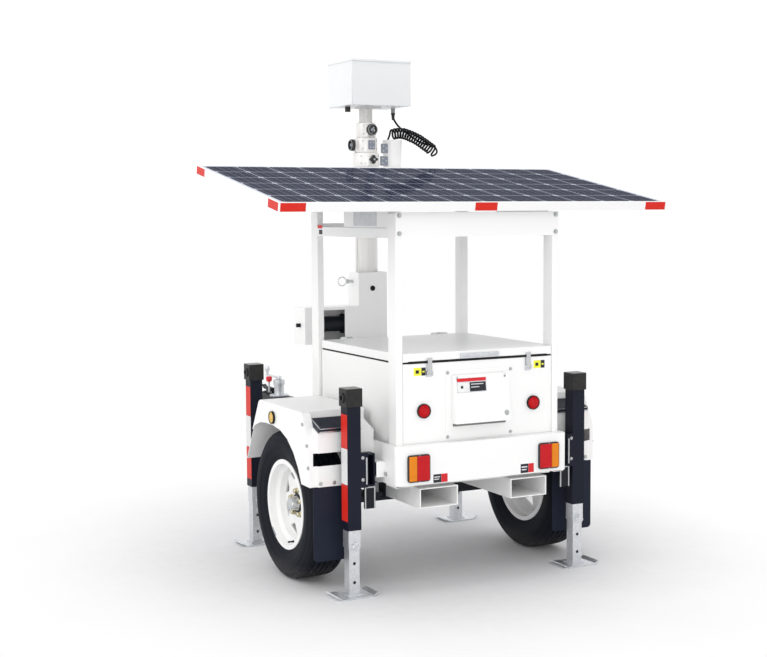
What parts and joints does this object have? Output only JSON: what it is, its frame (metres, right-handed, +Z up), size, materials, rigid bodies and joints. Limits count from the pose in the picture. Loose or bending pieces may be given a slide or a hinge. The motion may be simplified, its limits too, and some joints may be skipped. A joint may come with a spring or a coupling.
{
  "type": "solar mast trailer",
  "caption": "Two-wheel trailer with an equipment cabinet, a sloping solar panel, a tilting telescopic mast with a head enclosure, and screw jack outriggers.",
  "frame": {"origin": "on the ground, under the middle of the overall length and width", "axes": "+Y forward along the drawbar, +X to the right seen from behind, +Z up"},
  "size_m": [1.956, 2.6, 2.424],
  "materials": {
    "white_coat": "satin white powder coat",
    "dark_coat": "satin blue-black",
    "zinc": "zinc plated",
    "aluminium_white": "white anodised",
    "tyre": "matte",
    "rubber_black": "matte",
    "lens_red": "gloss lens",
    "lens_amber": "gloss lens",
    "battery_case": "moulded",
    "knob_plastic": "moulded",
    "solar_glass": "glossy tempered glass over dark cells"
  },
  "bodies": {
    "chassis": {"frame_rails": "white_coat", "frame_crossmembers": "white_coat", "fork_pockets": "white_coat", "bumper_skirt": "white_coat", "drawbar_beams": "white_coat", "coupler_body": "zinc", "tongue_jack_tube": "zinc", "axle_beam": "dark_coat", "leaf_springs": "dark_coat", "fenders": "white_coat", "step_pads": "rubber_black", "mudflaps": "rubber_black", "tail_lights": "lens_red", "marker_lamps": "lens_amber", "cabinet_body": "white_coat", "lid_seal": "rubber_black", "cabinet_hardware": "zinc", "rear_access_plate": "white_coat", "battery_bank": "battery_case", "charge_controller": "battery_case", "cabinet_posts": "white_coat", "upper_frame": "white_coat", "panel_frame": "aluminium_white", "panel_laminate": "solar_glass", "mast_housing": "white_coat", "winch_housing": "white_coat", "frame_bolts": "zinc"},
    "lid": {"cabinet_lid": "white_coat", "lid_handle": "zinc"},
    "latch_left": {"latch_lever_left": "zinc"},
    "latch_right": {"latch_lever_right": "zinc"},
    "hood": {"hatch_hood": "white_coat"},
    "mast_base": {"mast_tube_1": "white_coat", "cable_funnel": "white_coat"},
    "mast_second": {"mast_tube_2": "white_coat"},
    "mast_third": {"mast_tube_3": "white_coat"},
    "mast_top": {"mast_tube_4": "white_coat", "head_box": "white_coat", "curly_cord_coil": "rubber_black", "curly_cord_leads": "rubber_black"},
    "lock_pin": {"mast_lock_pin": "zinc"},
    "knob_low": {"collar_knob_1": "knob_plastic"},
    "knob_mid": {"collar_knob_2": "knob_plastic"},
    "knob_high": {"collar_knob_3": "knob_plastic"},
    "wheel_left": {"tyre_left": "tyre", "rim_left": "white_coat"},
    "wheel_right": {"tyre_right": "tyre", "rim_right": "white_coat"},
    "tongue_ram": {"tongue_jack_ram": "zinc"},
    "tongue_crank": {"tongue_jack_crank": "zinc"},
    "coupler_latch": {"coupler_lever": "zinc"},
    "winch": {"winch_drum": "dark_coat"},
    "outrigger_lr": {"jack_lr_tube": "dark_coat"},
    "leg_lr": {"jack_lr_ram": "zinc"},
    "outrigger_rr": {"jack_rr_tube": "dark_coat"},
    "leg_rr": {"jack_rr_ram": "zinc"},
    "outrigger_lf": {"jack_lf_tube": "dark_coat"},
    "leg_lf": {"jack_lf_ram": "zinc"},
    "outrigger_rf": {"jack_rf_tube": "dark_coat"},
    "leg_rf": {"jack_rf_ram": "zinc"}
  },
  "joints": [
    {"name": "lid_hinge", "type": "hinge", "parent": "chassis", "child": "lid", "pos_m": [0, -0.4273, 1.056], "axis": [-1, 0, 0], "range_deg": [0, 55]},
    {"name": "latch_left_lever", "type": "hinge", "parent": "chassis", "child": "latch_left", "pos_m": [-0.254, -1.2403, 0.965], "axis": [1, 0, 0], "range_deg": [0, 110]},
    {"name": "latch_right_lever", "type": "hinge", "parent": "chassis", "child": "latch_right", "pos_m": [0.254, -1.2403, 0.965], "axis": [1, 0, 0], "range_deg": [0, 110]},
    {"name": "hood_hinge", "type": "hinge", "parent": "chassis", "child": "hood", "pos_m": [0, -1.2423, 0.946], "axis": [-1, 0, 0], "range_deg": [0, 100]},
    {"name": "mast_tilt", "type": "hinge", "parent": "chassis", "child": "mast_base", "pos_m": [0, -0.1203, 0.68], "axis": [-1, 0, 0], "range_deg": [0, 75]},
    {"name": "mast_second_slide", "type": "slide", "parent": "mast_base", "child": "mast_second", "axis": [0, 0, 1], "range_m": [0, 1]},
    {"name": "mast_third_slide", "type": "slide", "parent": "mast_second", "child": "mast_third", "axis": [0, 0, 1], "range_m": [0, 0.95]},
    {"name": "mast_top_slide", "type": "slide", "parent": "mast_third", "child": "mast_top", "axis": [0, 0, 1], "range_m": [0, 0.9]},
    {"name": "lock_pin_slide", "type": "slide", "parent": "chassis", "child": "lock_pin", "axis": [1, 0, 0], "range_m": [0, 0.022]},
    {"name": "knob_low_turn", "type": "hinge", "parent": "mast_base", "child": "knob_low", "pos_m": [0, -0.1203, 1.92975], "axis": [0, -1, 0], "range_deg": [0, 540]},
    {"name": "knob_mid_turn", "type": "hinge", "parent": "mast_second", "child": "knob_mid", "pos_m": [0, -0.1203, 2.0035], "axis": [-1, 0, 0], "range_deg": [0, 540]},
    {"name": "knob_high_turn", "type": "hinge", "parent": "mast_third", "child": "knob_high", "pos_m": [0, -0.1203, 2.07875], "axis": [0, -1, 0], "range_deg": [0, 540]},
    {"name": "wheel_left_spin", "type": "hinge", "parent": "chassis", "child": "wheel_left", "pos_m": [-0.635, -0.7103, 0.338], "axis": [1, 0, 0], "continuous": true},
    {"name": "wheel_right_spin", "type": "hinge", "parent": "chassis", "child": "wheel_right", "pos_m": [0.635, -0.7103, 0.338], "axis": [1, 0, 0], "continuous": true},
    {"name": "outrigger_lr_slide", "type": "slide", "parent": "chassis", "child": "outrigger_lr", "axis": [-1, 0, 0], "range_m": [0, 0.3]},
    {"name": "leg_lr_lift", "type": "slide", "parent": "outrigger_lr", "child": "leg_lr", "axis": [0, 0, 1], "range_m": [-0.25, 0.045]},
    {"name": "outrigger_rr_slide", "type": "slide", "parent": "chassis", "child": "outrigger_rr", "axis": [1, 0, 0], "range_m": [0, 0.3]},
    {"name": "leg_rr_lift", "type": "slide", "parent": "outrigger_rr", "child": "leg_rr", "axis": [0, 0, 1], "range_m": [-0.25, 0.045]},
    {"name": "outrigger_lf_slide", "type": "slide", "parent": "chassis", "child": "outrigger_lf", "axis": [-1, 0, 0], "range_m": [0, 0.3]},
    {"name": "leg_lf_lift", "type": "slide", "parent": "outrigger_lf", "child": "leg_lf", "axis": [0, 0, 1], "range_m": [-0.25, 0.045]},
    {"name": "outrigger_rf_slide", "type": "slide", "parent": "chassis", "child": "outrigger_rf", "axis": [1, 0, 0], "range_m": [0, 0.3]},
    {"name": "leg_rf_lift", "type": "slide", "parent": "outrigger_rf", "child": "leg_rf", "axis": [0, 0, 1], "range_m": [-0.25, 0.045]},
    {"name": "tongue_crank_turn", "type": "hinge", "parent": "chassis", "child": "tongue_crank", "pos_m": [0, 1.0547, 0.69], "axis": [0, 0, 1], "range_deg": [-10000, 7800]},
    {"name": "tongue_ram_lift", "type": "slide", "parent": "chassis", "child": "tongue_ram", "axis": [0, 0, 1], "range_m": [-0.14, 0.11]},
    {"name": "coupler_lever_lift", "type": "hinge", "parent": "chassis", "child": "coupler_latch", "pos_m": [0, 1.1847, 0.608], "axis": [1, 0, 0], "range_deg": [0, 38]},
    {"name": "winch_turn", "type": "hinge", "parent": "chassis", "child": "winch", "pos_m": [0, -0.1283, 1.104], "axis": [1, 0, 0], "continuous": true}
  ],
  "couplings": [
    {"joint": "tongue_ram_lift", "follows": "tongue_crank_turn", "m_per_rad": 0.000796}
  ]
}
